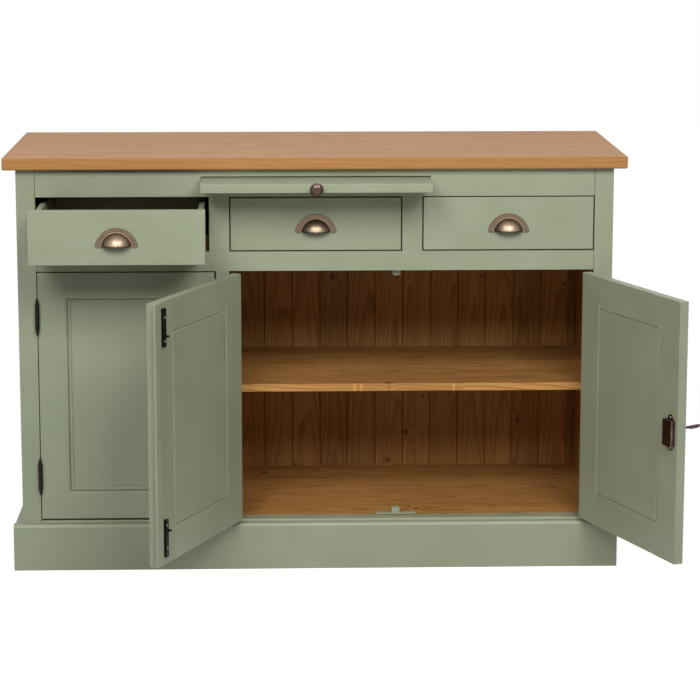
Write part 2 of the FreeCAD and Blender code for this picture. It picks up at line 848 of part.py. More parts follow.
def bar_space(clearance, z0, z1):
    """The space of a slide bolt's flat bar between two heights, with room around it."""
    half_width = bolt_bar_width / 2 + clearance
    return box(bolt_x - half_width, bolt_x + half_width, bar_front - clearance, bar_back + clearance,
               min(z0, z1), max(z0, z1))


def slide_bolt(end_z, way):
    """A flat case and a sliding bar with a lever; way is +1 where the bolt shoots upwards."""
    far_z = end_z - way * bolt_case_length
    case = box(bolt_x - bolt_case_width / 2, bolt_x + bolt_case_width / 2, door_back, case_back,
               min(end_z, far_z), max(end_z, far_z))
    case = case.cut(bar_space(bolt_bar_clearance, end_z, far_z))
    lever_z = end_z - way * bolt_lever_setback
    slot_half_width = bolt_lever_radius + bolt_bar_clearance
    slot_start = lever_z - way * slot_half_width
    slot_end = lever_z + way * (bolt_travel + slot_half_width)
    slot = box(bolt_x - slot_half_width, bolt_x + slot_half_width, bar_back, case_back,
               min(slot_start, slot_end), max(slot_start, slot_end))
    bar = bar_space(0, end_z - way * bolt_bar_inset, far_z + way * bolt_bar_inset)
    lever_length = case_back - bar_front + bolt_lever_reach
    lever = rod(bolt_lever_radius, lever_length, V(bolt_x, bar_front, lever_z), V(0, 1, 0))
    return case.cut(slot).removeSplitter(), bar.fuse(lever).removeSplitter()


keeper_low = middle_rail_bottom - keeper_drop
keeper_high = bottom_top + keeper_rise
upper_case, upper_bolt = slide_bolt(keeper_low - bolt_keeper_gap, 1)
lower_case, lower_bolt = slide_bolt(keeper_high + bolt_keeper_gap, -1)
save("bolt_cases", middle_place([upper_case, lower_case]))
save("upper_bolt", middle_place([upper_bolt]))
save("lower_bolt", middle_place([lower_bolt]))

keeper_back = frame_back + keeper_depth
upper_keeper = box(bolt_x - keeper_width / 2, bolt_x + keeper_width / 2, frame_back, keeper_back,
                   keeper_low, keeper_low + keeper_height)
upper_keeper = rounded(upper_keeper, keeper_corner_radius,
                       lambda edge: lies_at(edge, "z", keeper_low)
                       and abs(edge.Length - keeper_depth) < match)
lower_keeper = box(bolt_x - keeper_width / 2, bolt_x + keeper_width / 2, frame_back, keeper_back,
                   bottom_top, keeper_high)
foot = box(bolt_x - keeper_foot_width / 2, bolt_x + keeper_foot_width / 2, frame_back, keeper_back,
           bottom_top, bottom_top + keeper_foot_thickness)
lower_keeper = lower_keeper.fuse(foot)
hole_depth = bolt_travel + keeper_hole_spare
upper_hole = bar_space(keeper_hole_clearance, keeper_low, keeper_low + hole_depth)
lower_hole = bar_space(keeper_hole_clearance, keeper_high, keeper_high - hole_depth)
save("bolt_keepers", [upper_keeper.cut(upper_hole), lower_keeper.cut(lower_hole).removeSplitter()])
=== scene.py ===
# %% [markdown]
# # A painted credenza with a pine top
# The credenza is joiner's work: a pine carcass with a painted front frame, three framed doors, three
# drawers and a board that pulls out under the top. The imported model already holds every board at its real
# size, so this lesson gives the boards their eased arrises, grain and paint, and shapes the small fittings.
# One could model every board again from cubes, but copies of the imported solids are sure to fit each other.

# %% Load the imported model
import json
import math
import random

import bmesh
import bpy
from mathutils import Matrix, Vector


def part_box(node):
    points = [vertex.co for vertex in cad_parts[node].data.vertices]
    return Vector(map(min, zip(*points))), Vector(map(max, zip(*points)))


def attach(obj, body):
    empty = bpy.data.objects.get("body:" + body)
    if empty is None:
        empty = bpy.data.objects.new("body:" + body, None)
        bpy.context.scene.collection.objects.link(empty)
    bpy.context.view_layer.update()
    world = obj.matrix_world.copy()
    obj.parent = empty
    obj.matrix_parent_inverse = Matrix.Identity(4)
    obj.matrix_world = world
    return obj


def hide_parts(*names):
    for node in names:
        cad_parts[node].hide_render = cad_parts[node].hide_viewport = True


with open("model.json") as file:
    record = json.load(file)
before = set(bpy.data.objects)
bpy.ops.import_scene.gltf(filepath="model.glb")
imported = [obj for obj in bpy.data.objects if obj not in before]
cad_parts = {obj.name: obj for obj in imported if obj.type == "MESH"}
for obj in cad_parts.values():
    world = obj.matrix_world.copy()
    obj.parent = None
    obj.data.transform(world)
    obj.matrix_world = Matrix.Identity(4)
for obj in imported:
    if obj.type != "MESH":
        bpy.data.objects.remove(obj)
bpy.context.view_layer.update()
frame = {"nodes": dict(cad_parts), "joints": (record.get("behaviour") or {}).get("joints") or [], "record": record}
scene = bpy.context.scene
nodes = frame["nodes"]
bodies = frame["record"]["behaviour"]["bodies"]
body_of = {node: body for body, held in bodies.items() for node in held}
MM = 0.001
SIDES = ("left", "middle", "right")

# %% [markdown]
# ## Two helpers for every finish
# A finish is written as sRGB hex colours, as they are read off a paint card, while Blender's sockets hold
# linear light, so one function converts them. A second one adds any node with its settings and links, which
# keeps each finish below to a few readable lines.

# %% Colour and node helpers
def linear(colour):
    """The linear colour of an sRGB hex value."""
    channels = [int(colour[place:place + 2], 16) / 255 for place in (1, 3, 5)]
    return [c / 12.92 if c <= 0.04045 else ((c + 0.055) / 1.055) ** 2.4 for c in channels] + [1.0]


def add(tree, kind, settings=None, links=None, stops=()):
    """Adds one node: settings go to its sockets or properties, links to its inputs, stops to its ramp."""
    node = tree.nodes.new(kind)
    for name, value in (settings or {}).items():
        if isinstance(name, int) or name in node.inputs:
            node.inputs[name].default_value = value
        else:
            setattr(node, name, value)
    for name, socket in (links or {}).items():
        tree.links.new(socket, node.inputs[name])
    for index, (place, value) in enumerate(stops):
        stop = node.color_ramp.elements[index] if index < 2 else node.color_ramp.elements.new(place)
        stop.position = place
        stop.color = value
    return node


def new_finish(name):
    """A new node material, with its tree and its shader."""
    material = bpy.data.materials.new(name)
    material.use_nodes = True
    return material, material.node_tree, material.node_tree.nodes["Principled BSDF"]


MIX_A, MIX_B, MIX_COLOUR = 6, 7, 2  # the places of a colour mix's two inputs and of its result
print("helpers ready, mid grey is", round(linear("#808080")[0], 3), "in linear light")

# %% [markdown]
# ## Satin sage paint
# The outside is brushed with a satin water-based paint in two coats. The eye sees an even grey-green with a
# soft sheen, a slow drift of tone, faint bristle lines along each board and paler arrises, partly rubbed wear
# and partly a painted highlight. A flat colour would look like plastic, so colour and gloss follow the board's
# own grain coordinates, and a number on each face, written when the boards are made, tells how much paler the
# paint is there, as rubbed wear and painted highlight.

# %% Satin sage paint
PAINT_DEEP = "#979F83"
PAINT_PALE = "#A3AA8F"
PAINT_RUB_AND_HIGHLIGHT = "#DCDCC2"
DRIFT = 170 * MM
STROKE = 260 * MM
BRISTLE = 4 * MM  # real bristle lines are finer than 1 mm, and are drawn coarser so that they show
BRISTLE_SHARE = 0.35
STROKE_RELIEF = 0.03 * MM

paint, tree, shader = new_finish("satin_sage_paint")
grain = add(tree, "ShaderNodeAttribute", {"attribute_name": "grain"}).outputs["Vector"]
drift = add(tree, "ShaderNodeTexNoise", {"Scale": 1 / DRIFT, "Detail": 3.0}, {"Vector": grain})
stretch = add(tree, "ShaderNodeMapping", {"Scale": (1 / STROKE, 1 / BRISTLE, 1 / BRISTLE)}, {"Vector": grain})
bristles = add(tree, "ShaderNodeTexNoise", {"Scale": 1.0, "Detail": 2.0},
               {"Vector": stretch.outputs["Vector"]})
coat = add(tree, "ShaderNodeMath", {"operation": "MULTIPLY_ADD", 1: BRISTLE_SHARE},
           {0: bristles.outputs["Fac"], 2: drift.outputs["Fac"]})
spread = add(tree, "ShaderNodeMapRange", {"From Min": 0.45, "From Max": 0.9}, {"Value": coat.outputs[0]})
tone = add(tree, "ShaderNodeMix", {"data_type": "RGBA", MIX_A: linear(PAINT_DEEP), MIX_B: linear(PAINT_PALE)},
           {0: spread.outputs["Result"]})
edge = add(tree, "ShaderNodeAttribute", {"attribute_name": "edge"})
# paler arrises: partly rubbed wear, partly a painted highlight
rubbed_and_highlighted = add(tree, "ShaderNodeMix", {"data_type": "RGBA", MIX_B: linear(PAINT_RUB_AND_HIGHLIGHT)},
             {0: edge.outputs["Fac"], MIX_A: tone.outputs[MIX_COLOUR]})
gloss = add(tree, "ShaderNodeMapRange", {"From Min": 0.3, "From Max": 0.7, "To Min": 0.4, "To Max": 0.52},
            {"Value": bristles.outputs["Fac"]})
relief = add(tree, "ShaderNodeBump", {"Strength": 0.5, "Distance": STROKE_RELIEF},
             {"Height": bristles.outputs["Fac"]})
tree.links.new(rubbed_and_highlighted.outputs[MIX_COLOUR], shader.inputs["Base Color"])
tree.links.new(gloss.outputs["Result"], shader.inputs["Roughness"])
tree.links.new(relief.outputs["Normal"], shader.inputs["Normal"])
print("made", paint.name)

# %% [markdown]
# ## Flat-sawn pine
# The top and the inside are bare pine, oiled outside and waxed within, and the front edge of the cupboard's
# floor has its own darker, olive-brown pine colour. A flat-sawn board is cut beside the heart of the log, so its
# growth rings, which are tubes around the heart, show as nested arches. The finish does the same: it measures
# the distance from a heart line that lies behind each board, lets it lean and wander, and cuts it into rings
# of pale early wood and dark late wood. Knots push the rings aside. A wave texture would give only straight
# bands.

# %% Pine finishes
WANDER_LENGTH = 420 * MM
WANDER_WIDTH = 60 * MM
WANDER = 32 * MM
TAPER = 0.035
KNOT_CELL = 95 * MM
KNOT_SMALL = 2.5 * MM
KNOT_LARGE = 7.0 * MM
KNOT_DARK = 0.75
KNOT_HEART = (0.4, 1.6)  # in radii of the knot, as the next pair is
KNOT_REACH = (0.3, 5.0)
SWIRL = 7 * MM
FIBRE_LENGTH = 70 * MM
FIBRE_WIDTH = 2.2 * MM  # real fibres are a tenth of this, and are drawn coarser so that they show
FIBRE_SHARE = 0.35
FIBRE_BASE = 0.825
STREAK_LENGTH = 900 * MM
STREAK_WIDTH = 28 * MM
GRAIN_RELIEF = 0.06 * MM


def pine(name, colours, ring_width, knot_share, ring_strength, board_change, roughness, specular):
    """Pine with rings, fibres, streaks and knots along the board's own grain coordinates."""
    early, late, streak, knot = [linear(colour) for colour in colours]
    material, tree, shader = new_finish(name)
    grain = add(tree, "ShaderNodeAttribute", {"attribute_name": "grain"}).outputs["Vector"]
    along = add(tree, "ShaderNodeSeparateXYZ", None, {0: grain}).outputs["X"]
    slow = add(tree, "ShaderNodeMapping", {"Scale": (1 / WANDER_LENGTH, 1 / WANDER_WIDTH, 1 / WANDER_WIDTH)},
               {"Vector": grain})
    wander = add(tree, "ShaderNodeTexNoise", {"Scale": 1.0, "Detail": 2.0}, {"Vector": slow.outputs[0]})
    cells = add(tree, "ShaderNodeTexVoronoi", {"voronoi_dimensions": "2D", "Scale": 1 / KNOT_CELL},
                {"Vector": grain})
    luck = add(tree, "ShaderNodeSeparateColor", None, {0: cells.outputs["Color"]})
    present = add(tree, "ShaderNodeMath", {"operation": "GREATER_THAN", 1: 1 - knot_share},
                  {0: luck.outputs[0]})
    size = add(tree, "ShaderNodeMapRange",
               {"To Min": KNOT_SMALL / KNOT_CELL, "To Max": KNOT_LARGE / KNOT_CELL},
               {"Value": luck.outputs[1]})
    reach = add(tree, "ShaderNodeMath", {"operation": "DIVIDE"},
                {0: cells.outputs["Distance"], 1: size.outputs["Result"]})
    heart = add(tree, "ShaderNodeMapRange",
                {"interpolation_type": "SMOOTHSTEP", "From Min": KNOT_HEART[1], "From Max": KNOT_HEART[0],
                 "To Max": KNOT_DARK}, {"Value": reach.outputs[0]})
    pushed = add(tree, "ShaderNodeMapRange",
                 {"interpolation_type": "SMOOTHSTEP", "From Min": KNOT_REACH[1], "From Max": KNOT_REACH[0]},
                 {"Value": reach.outputs[0]})
    knot_heart = add(tree, "ShaderNodeMath", {"operation": "MULTIPLY"},
                     {0: heart.outputs["Result"], 1: present.outputs[0]})
    knot_push = add(tree, "ShaderNodeMath", {"operation": "MULTIPLY"},
                    {0: pushed.outputs["Result"], 1: present.outputs[0]})
    across = add(tree, "ShaderNodeVectorMath", {"operation": "MULTIPLY", 1: (0.0, 1.0, 1.0)}, {0: grain})
    radius = add(tree, "ShaderNodeVectorMath", {"operation": "LENGTH"}, {0: across.outputs["Vector"]})
    leaning = add(tree, "ShaderNodeMath", {"operation": "MULTIPLY_ADD", 1: TAPER},
                  {0: along, 2: radius.outputs["Value"]})
    wandering = add(tree, "ShaderNodeMath", {"operation": "MULTIPLY_ADD", 1: WANDER},
                    {0: wander.outputs["Fac"], 2: leaning.outputs[0]})
    bent = add(tree, "ShaderNodeMath", {"operation": "MULTIPLY_ADD", 1: SWIRL},
               {0: knot_push.outputs[0], 2: wandering.outputs[0]})
    years = add(tree, "ShaderNodeMath", {"operation": "DIVIDE", 1: ring_width}, {0: bent.outputs[0]})
    season = add(tree, "ShaderNodeMath", {"operation": "FRACT"}, {0: years.outputs[0]})
    dark = (ring_strength, ring_strength, ring_strength, 1.0)
    half = (ring_strength / 4, ring_strength / 4, ring_strength / 4, 1.0)
    none = (0.0, 0.0, 0.0, 1.0)
    late_wood = add(tree, "ShaderNodeValToRGB", None, {0: season.outputs[0]},
                    [(0.0, none), (0.5, half), (0.84, dark), (0.94, dark), (1.0, none)])
    ringed = add(tree, "ShaderNodeMix", {"data_type": "RGBA", MIX_A: early, MIX_B: late},
                 {0: late_wood.outputs["Color"]})
    long_way = add(tree, "ShaderNodeMapping",
                   {"Scale": (1 / STREAK_LENGTH, 1 / STREAK_WIDTH, 1 / STREAK_WIDTH)}, {"Vector": grain})
    streaks = add(tree, "ShaderNodeTexNoise", {"Scale": 1.0, "Detail": 3.0}, {"Vector": long_way.outputs[0]})
    streak_share = add(tree, "ShaderNodeMapRange", {"From Min": 0.48, "From Max": 0.72, "To Max": 0.6},
                       {"Value": streaks.outputs["Fac"]})
    streaked = add(tree, "ShaderNodeMix", {"data_type": "RGBA", MIX_B: streak},
                   {0: streak_share.outputs["Result"], MIX_A: ringed.outputs[MIX_COLOUR]})
    fine_way = add(tree, "ShaderNodeMapping", {"Scale": (1 / FIBRE_LENGTH, 1 / FIBRE_WIDTH, 1 / FIBRE_WIDTH)},
                   {"Vector": grain})
    fibres = add(tree, "ShaderNodeTexNoise", {"Scale": 1.0, "Detail": 2.0}, {"Vector": fine_way.outputs[0]})
    # this tone also carries painted shade inside the cupboard and painted light and shade on sawn edges
    board = add(tree, "ShaderNodeAttribute", {"attribute_name": "tone"})
    light = add(tree, "ShaderNodeMath", {"operation": "MULTIPLY_ADD", 1: FIBRE_SHARE, 2: FIBRE_BASE},
                {0: fibres.outputs["Fac"]})
    board_light = add(tree, "ShaderNodeMath", {"operation": "MULTIPLY_ADD", 1: board_change},
                      {0: board.outputs["Fac"], 2: light.outputs[0]})
    toned = add(tree, "ShaderNodeHueSaturation", None,
                {"Color": streaked.outputs[MIX_COLOUR], "Value": board_light.outputs[0]})
    knotted = add(tree, "ShaderNodeMix", {"data_type": "RGBA", MIX_B: knot},
                  {0: knot_heart.outputs[0], MIX_A: toned.outputs["Color"]})
    sheen = add(tree, "ShaderNodeMapRange", {"To Min": roughness - 0.06, "To Max": roughness + 0.08},
                {"Value": late_wood.outputs["Color"]})
    height = add(tree, "ShaderNodeMath", {"operation": "ADD"},
                 {0: fibres.outputs["Fac"], 1: late_wood.outputs["Color"]})
    relief = add(tree, "ShaderNodeBump", {"Strength": 0.4, "Distance": GRAIN_RELIEF},
                 {"Height": height.outputs[0]})
    tree.links.new(knotted.outputs[MIX_COLOUR], shader.inputs["Base Color"])
    tree.links.new(sheen.outputs["Result"], shader.inputs["Roughness"])
    tree.links.new(relief.outputs["Normal"], shader.inputs["Normal"])
    shader.inputs["Specular IOR Level"].default_value = specular
    return material


TOP_COLOURS = ("#C68F58", "#AC723A", "#B67A43", "#5B3317")
INSIDE_COLOURS = ("#C38F52", "#94622D", "#A06B34", "#3A200C")
# the floor's front edge: an olive-brown pine, darker than the paint
OLIVE_EDGE_COLOURS = ("#968D70", "#7E7355", "#877C5E", "#3F3622")
INSIDE_WOOD = {"ring_width": 8 * MM, "knot_share": 0.16, "ring_strength": 0.6, "board_change": 0.16,
               "roughness": 0.58, "specular": 0.2}
top_pine = pine("oiled_honey_pine", TOP_COLOURS, ring_width=9 * MM, knot_share=0.03, ring_strength=0.35,
                board_change=0.05, roughness=0.5, specular=0.15)
inside_pine = pine("waxed_knotty_pine", INSIDE_COLOURS, **INSIDE_WOOD)
olive_edge_pine = pine("dark_olive_edge_pine", OLIVE_EDGE_COLOURS, **INSIDE_WOOD)
print("made", top_pine.name, inside_pine.name, "and", olive_edge_pine.name)

# %% [markdown]
# ## Bronze, iron and steel
# The pulls are cast and antiqued: a dark patina is left in the hollows and rubbed bright where fingers touch,
# and on their domes this colour also holds a painted reflection, bright in the middle and dark towards the
# edges. The knob, locks and keys are darker bronze, the hinges and bolts are blackened iron, and the screws are
# bare steel. Metal takes its look from what it mirrors, so each finish is fully metallic with a mottled
# roughness, and its filed edges are paler, partly as bare filed metal and partly as a painted highlight.

# %% Metal finishes
def metal(name, stops, mottle, rubbed_and_highlighted, shows_wear_and_reflection=False, rough=(0.3, 0.5)):
    """A mottled metal with edges paler as rubbed metal and a painted highlight; one with wear and reflection takes
    its colour from the wear and painted reflection of its piece.
    """
    material, tree, shader = new_finish(name)
    spot = add(tree, "ShaderNodeTexCoord").outputs["Object"]
    mottling = add(tree, "ShaderNodeTexNoise", {"Scale": 1 / mottle, "Detail": 4.0}, {"Vector": spot})
    share = mottling.outputs["Fac"]
    if shows_wear_and_reflection:
        wear = add(tree, "ShaderNodeAttribute", {"attribute_name": "wear"})
        centred = add(tree, "ShaderNodeMath", {"operation": "MULTIPLY_ADD", 1: 0.5, 2: -0.25}, {0: share})
        wear_and_reflection_share = add(tree, "ShaderNodeMath", {"operation": "ADD"},
                         {0: wear.outputs["Fac"], 1: centred.outputs[0]})
        share = wear_and_reflection_share.outputs[0]
    ramp = add(tree, "ShaderNodeValToRGB", None, {0: share},
               [(place, linear(colour)) for place, colour in stops])
    gloss = add(tree, "ShaderNodeMapRange", {"To Min": rough[1], "To Max": rough[0]}, {"Value": share})
    relief = add(tree, "ShaderNodeBump", {"Strength": 0.25, "Distance": 0.08 * MM},
                 {"Height": mottling.outputs["Fac"]})
    edge = add(tree, "ShaderNodeAttribute", {"attribute_name": "edge"})
    bright = add(tree, "ShaderNodeMix", {"data_type": "RGBA", MIX_B: linear(rubbed_and_highlighted)},
                 {0: edge.outputs["Fac"], MIX_A: ramp.outputs["Color"]})
    tree.links.new(bright.outputs[MIX_COLOUR], shader.inputs["Base Color"])
    tree.links.new(gloss.outputs["Result"], shader.inputs["Roughness"])
    tree.links.new(relief.outputs["Normal"], shader.inputs["Normal"])
    shader.inputs["Metallic"].default_value = 1.0
    return material


# patina to worn bright; on the pulls the bright and the dark end also paint their reflection
BRONZE_WEAR_AND_REFLECTION = [(0.0, "#231A13"), (0.35, "#54463A"), (0.7, "#8E7A66"), (1.0, "#BBA188")]
DARK_BRONZE = [(0.3, "#3E2E26"), (0.7, "#66544C")]
IRON = [(0.3, "#1D1C19"), (0.7, "#2E2C28")]
STEEL = [(0.3, "#8E897D"), (0.7, "#B0AB9F")]
antique_bronze = metal("antiqued_bronze", BRONZE_WEAR_AND_REFLECTION, 2.5 * MM, "#BBA188", shows_wear_and_reflection=True, rough=(0.42, 0.5))
dark_bronze = metal("dark_bronze", DARK_BRONZE, 3 * MM, "#C4A892", rough=(0.24, 0.36))
black_iron = metal("blackened_iron", IRON, 2 * MM, "#45423D", rough=(0.4, 0.55))
screw_steel = metal("bare_screw_steel", STEEL, 1 * MM, "#C9C4B8", rough=(0.34, 0.46))
print("made", [material.name for material in (antique_bronze, dark_bronze, black_iron, screw_steel)])

# %% [markdown]
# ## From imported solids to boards
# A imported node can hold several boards. Its triangles come board by board, so a board is complete where its
# last open edge has found its partner. Each board is copied, its loose triangles are merged and its flat
# faces joined again, and then its arrises are planed by a fraction of a millimetre, as a joiner eases them
# so that paint holds. The bevel also gives each joint between two boards the fine line that it has in life.

# %% Board helpers
MERGE = 0.001 * MM
FLAT = math.radians(0.5)
ARRIS = math.radians(40)


def extent(spots):
    """The lowest and the highest corner of some points."""
    return Vector(map(min, zip(*spots))), Vector(map(max, zip(*spots)))


def solids(node):
    """The node's boards, each as a bmesh of its own."""
    mesh = nodes[node].data
    spots = [tuple(round(c / MM, 3) for c in vertex.co) for vertex in mesh.vertices]
    open_edges = set()
    runs = [set()]
    for polygon in mesh.polygons:
        runs[-1].add(polygon.index)
        ring = [spots[index] for index in polygon.vertices]
        for edge in zip(ring, ring[1:] + ring[:1]):
            if edge[::-1] in open_edges:
                open_edges.remove(edge[::-1])
            else:
                open_edges.add(edge)
        if not open_edges:
            runs.append(set())
    boards = []
    for run in filter(None, runs):
        board = bmesh.new()
        board.from_mesh(mesh)
        others = [face for face in board.faces if face.index not in run]
        bmesh.ops.delete(board, geom=others, context="FACES")
        bmesh.ops.remove_doubles(board, verts=board.verts, dist=MERGE)
        bmesh.ops.dissolve_limit(board, angle_limit=FLAT, verts=board.verts, edges=board.edges)
        boards.append(board)
    return boards


def ease(board, width, rub_and_highlight):
    """Planes the outer arrises and marks how much paler the planed faces are, as rubbed wear and painted
    highlight.
    """
    mark = board.faces.layers.float.new("edge")
    arrises = [e for e in board.edges if e.is_manifold and e.calc_face_angle_signed(0.0) > ARRIS]
    planed = bmesh.ops.bevel(board, geom=arrises, offset=width, offset_type="OFFSET", affect="EDGES",
                             segments=2, profile=0.5, material=-1, clamp_overlap=True)
    for face in planed["faces"]:
        face[mark] = rub_and_highlight


def closing(body):
    """The turn that shuts a door, so that its boards are measured square."""
    for joint in frame["joints"]:
        if joint["child"] == body and joint["type"] == "hinge":
            pin = Matrix.Translation(joint["pos_m"])
            turn = Matrix.Rotation(math.radians(joint["range_deg"][0]), 4, Vector(joint["axis"]))
            return pin @ turn @ pin.inverted()
    return Matrix.Identity(4)


def joined(parts):
    """Several bmeshes as one."""
    whole = bmesh.new()
    scrap = bpy.data.meshes.new("scrap")
    for part in parts:
        part.to_mesh(scrap)
        part.free()
        whole.from_mesh(scrap)
    bpy.data.meshes.remove(scrap)
    return whole


def gathered(node, width, rub_and_highlight, prepare=None, dress=None):
    """All solids of a node in one bmesh, prepared before their arrises are planed and dressed after it."""
    boards = solids(node)
    for number, board in enumerate(boards):
        if prepare:
            prepare(node, board)
        ease(board, width, rub_and_highlight)
        if dress:
            dress(node, board, number)
    return joined(boards)


swing = [round(angle, 1) for angle in closing("middle_door").to_euler()]
print("the middle door is turned by", swing, "rad to shut it")

# %% [markdown]
# ## Grain on every board
# Grain follows the long way of a board. Each corner of each face gets three lengths, along the grain, across
# it and through it, counted from a heart line that is drawn by lot for each board, so that no two boards are
# alike. Wide panels are glued up from staves, and staves from shorter lengths, so such panels are cut into
# those pieces first. The lots are drawn stave by stave, because the order of cut faces can change from run to
# run. Object coordinates would run one tree through the whole cupboard.

# %% Lay the grain
STAVE = 88 * MM
SHORTEST = 260 * MM
LONGEST = 620 * MM
FIRST_JOINT = (0.2, 1.0)  # in longest lengths
HEART_ASIDE = (0.2, 0.8)  # in widths of a stave
HEART_BEHIND = (18 * MM, 60 * MM)
HEART_START = (0.0, 9.0)
GLUED_TONES = (-0.5, 0.5)
SINGLE_TONES = (-1.0, 1.0)
X, Z = 0, 2  # the places of two axes in a point


def cut(board, faces, place, way):
    """Cuts some faces of a board by a plane across one axis."""
    parts = set(faces)
    for face in faces:
        parts.update(face.edges)
        parts.update(face.verts)
    normal = Vector([float(axis == way) for axis in range(3)])
    bmesh.ops.bisect_plane(board, geom=list(parts), dist=MERGE, plane_co=normal * place, plane_no=normal)


def lay_grain(board, shut, chance, glued, painted_shade):
    """Writes the grain coordinates and a tone for each length of wood, made darker by a painted shade."""
    grain = board.loops.layers.float_vector.new("grain")
    tone = board.faces.layers.float.new("tone")
    spots = [shut @ vertex.co for vertex in board.verts]
    low = [min(spot[axis] for spot in spots) for axis in range(3)]
    size = [max(spot[axis] for spot in spots) - low[axis] for axis in range(3)]
    along, across, through = sorted(range(3), key=lambda axis: -size[axis])
    staves = max(1, round(size[across] / STAVE)) if glued else 1
    stave = size[across] / staves
    joints = [[] for _ in range(staves)]
    if glued:
        for row in range(1, staves):
            cut(board, board.faces[:], low[across] + row * stave, across)
        for row in range(staves):
            place = low[along] + chance.uniform(*FIRST_JOINT) * LONGEST
            while place < low[along] + size[along] - SHORTEST / 2:
                joints[row].append(place)
                here = [face for face in board.faces
                        if int((face.calc_center_median()[across] - low[across]) / stave) == row]
                cut(board, here, place, along)
                place += chance.uniform(SHORTEST, LONGEST)
    hearts = {}
    for row, ends in enumerate(joints):
        for length in range(len(ends) + 1):
            aside = low[across] + (row + chance.uniform(*HEART_ASIDE)) * stave
            behind = low[through] - chance.uniform(*HEART_BEHIND)
            shade = chance.uniform(*(GLUED_TONES if glued else SINGLE_TONES))
            hearts[row, length] = (chance.uniform(*HEART_START), aside, behind, shade)
    for face in board.faces:
        middle = shut @ face.calc_center_median()
        row = min(staves - 1, max(0, int((middle[across] - low[across]) / stave)))
        length = sum(place < middle[along] for place in joints[row])
        start, aside, behind, shade = hearts[row, length]
        face[tone] = shade - painted_shade
        for loop in face.loops:
            spot = shut @ loop.vert.co
            loop[grain] = (spot[along] - low[along] + start, spot[across] - aside, spot[through] - behind)
    return len(hearts)


print("grain helpers ready")

# %% [markdown]
# ## From shapes to pieces
# A finished shape becomes a piece that rides on the body it moves with, fills a material slot and stands in
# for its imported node. Its faces are shaded smoothly up to each sharp edge: flat shading would show the facets
# of turned metal, and smooth shading everywhere would blur the boards.

# %% Piece helpers
def soften(maker):
    """Shades faces smoothly, apart from the edges that are as sharp as an arris."""
    for face in maker.faces:
        face.smooth = True
    for edge in maker.edges:
        edge.smooth = edge.is_manifold and edge.calc_face_angle(0.0) < ARRIS


def show(name, body, finishes, maker, replaced=()):
    """Makes a piece of a finished bmesh, joins it to its body and hides what it stands for."""
    mesh = bpy.data.meshes.new(name)
    maker.to_mesh(mesh)
    maker.free()
    for finish in finishes:
        mesh.materials.append(finish)
    piece = bpy.data.objects.new(name, mesh)
    scene.collection.objects.link(piece)
    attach(piece, body)
    if replaced:
        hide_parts(*replaced)
    print(name, "has", len(mesh.polygons), "faces")
    return piece


print("piece helpers ready")

# %% [markdown]
# ## Edges worked by hand
# What tells joinery from a drawing is its edges. The shelf's sawn front edge is made paler as a painted
# highlight and shows the ends of the laths it is glued from, and the sloping edge of the plinth is made pale
# as a painted highlight too. The frames of the doors are chamfered along their panels, and the top is a crisp
# block that is rounded only below, with its front edge made darker as painted shade. Boards that meet stop a
# hair short of each other, which draws the dark line of a joint. Each is a small function on one board.

# %% Edge helpers
FRAME_CHAMFER = 1.1 * MM
UNDER_ROUND = 4 * MM
NEAR = 0.3 * MM
END_ZONE = 1.0 * MM
# a painted highlight on the plinth's upward sloping edge
SLOPE_PAINTED_HIGHLIGHT = 0.2
SLOPES = (0.5, 0.9)
SAWN = 0.9
LATH_ENDS = (86 * MM, 102 * MM, 315 * MM)
LATH = 6 * MM
LATH_TONE = 3.0


def sawn_edges(board, change):
    """Shifts the tone of the sawn faces at the front and the back of a board: up is painted light, down is painted
    shade.
    """
    tone = board.faces.layers.float["tone"]
    for face in board.faces:
        if abs(face.normal.y) > SAWN:
            face[tone] += change


def lath_ends(shelf):
    """Shows pale ends of laths in the front edge of a shelf."""
    tone = shelf.faces.layers.float["tone"]
    for start in LATH_ENDS:
        for place in (start, start + LATH):
            cut(shelf, [face for face in shelf.faces if face.normal.y < -SAWN], place, X)
        for face in shelf.faces:
            if face.normal.y < -SAWN and start < face.calc_center_median().x < start + LATH:
                face[tone] += LATH_TONE


def paint_slope_highlight(board):
    """Makes the sloping upper edge of a plinth board paler, a painted highlight where it faces up to the light."""
    edge = board.faces.layers.float["edge"]
    for face in board.faces:
        if SLOPES[0] < face.normal.z < SLOPES[1]:
            face[edge] = SLOPE_PAINTED_HIGHLIGHT


def chamfer(board, side, shut):
    """Chamfers the inner arris of a door's frame where it meets the groove round the panel."""
    panel = nodes[f"{side}_door_panel"]
    low, high = extent([shut @ vertex.co for vertex in panel.data.vertices])
    for place in (low.z, high.z):
        cut(board, board.faces[:], place, Z)
    picked = []
    for edge in board.edges:
        ends = [shut @ vertex.co for vertex in edge.verts]
        between = all(low.x - NEAR < end.x < high.x + NEAR for end in ends)
        level = all(low.z - NEAR < end.z < high.z + NEAR for end in ends)
        at_back = all(end.y > high.y - NEAR for end in ends)
        if between and level and at_back and edge.calc_face_angle_signed(0.0) > ARRIS:
            picked.append(edge)
    bmesh.ops.bevel(board, geom=picked, offset=FRAME_CHAMFER, offset_type="OFFSET", affect="EDGES",
                    segments=1, profile=0.5, material=-1, clamp_overlap=True)


def square(board):
    """Makes a board a plain block of its own size that is rounded only below."""
    low, high = extent([vertex.co.copy() for vertex in board.verts])
    board.clear()
    bmesh.ops.create_cube(board, size=1.0, matrix=Matrix.LocRotScale((low + high) / 2, None, high - low))
    below = [edge for edge in board.edges if all(vertex.co.z < low.z + NEAR for vertex in edge.verts)]
    bmesh.ops.bevel(board, geom=below, offset=UNDER_ROUND, offset_type="OFFSET", affect="EDGES", segments=4,
                    profile=0.5, material=-1, clamp_overlap=True)


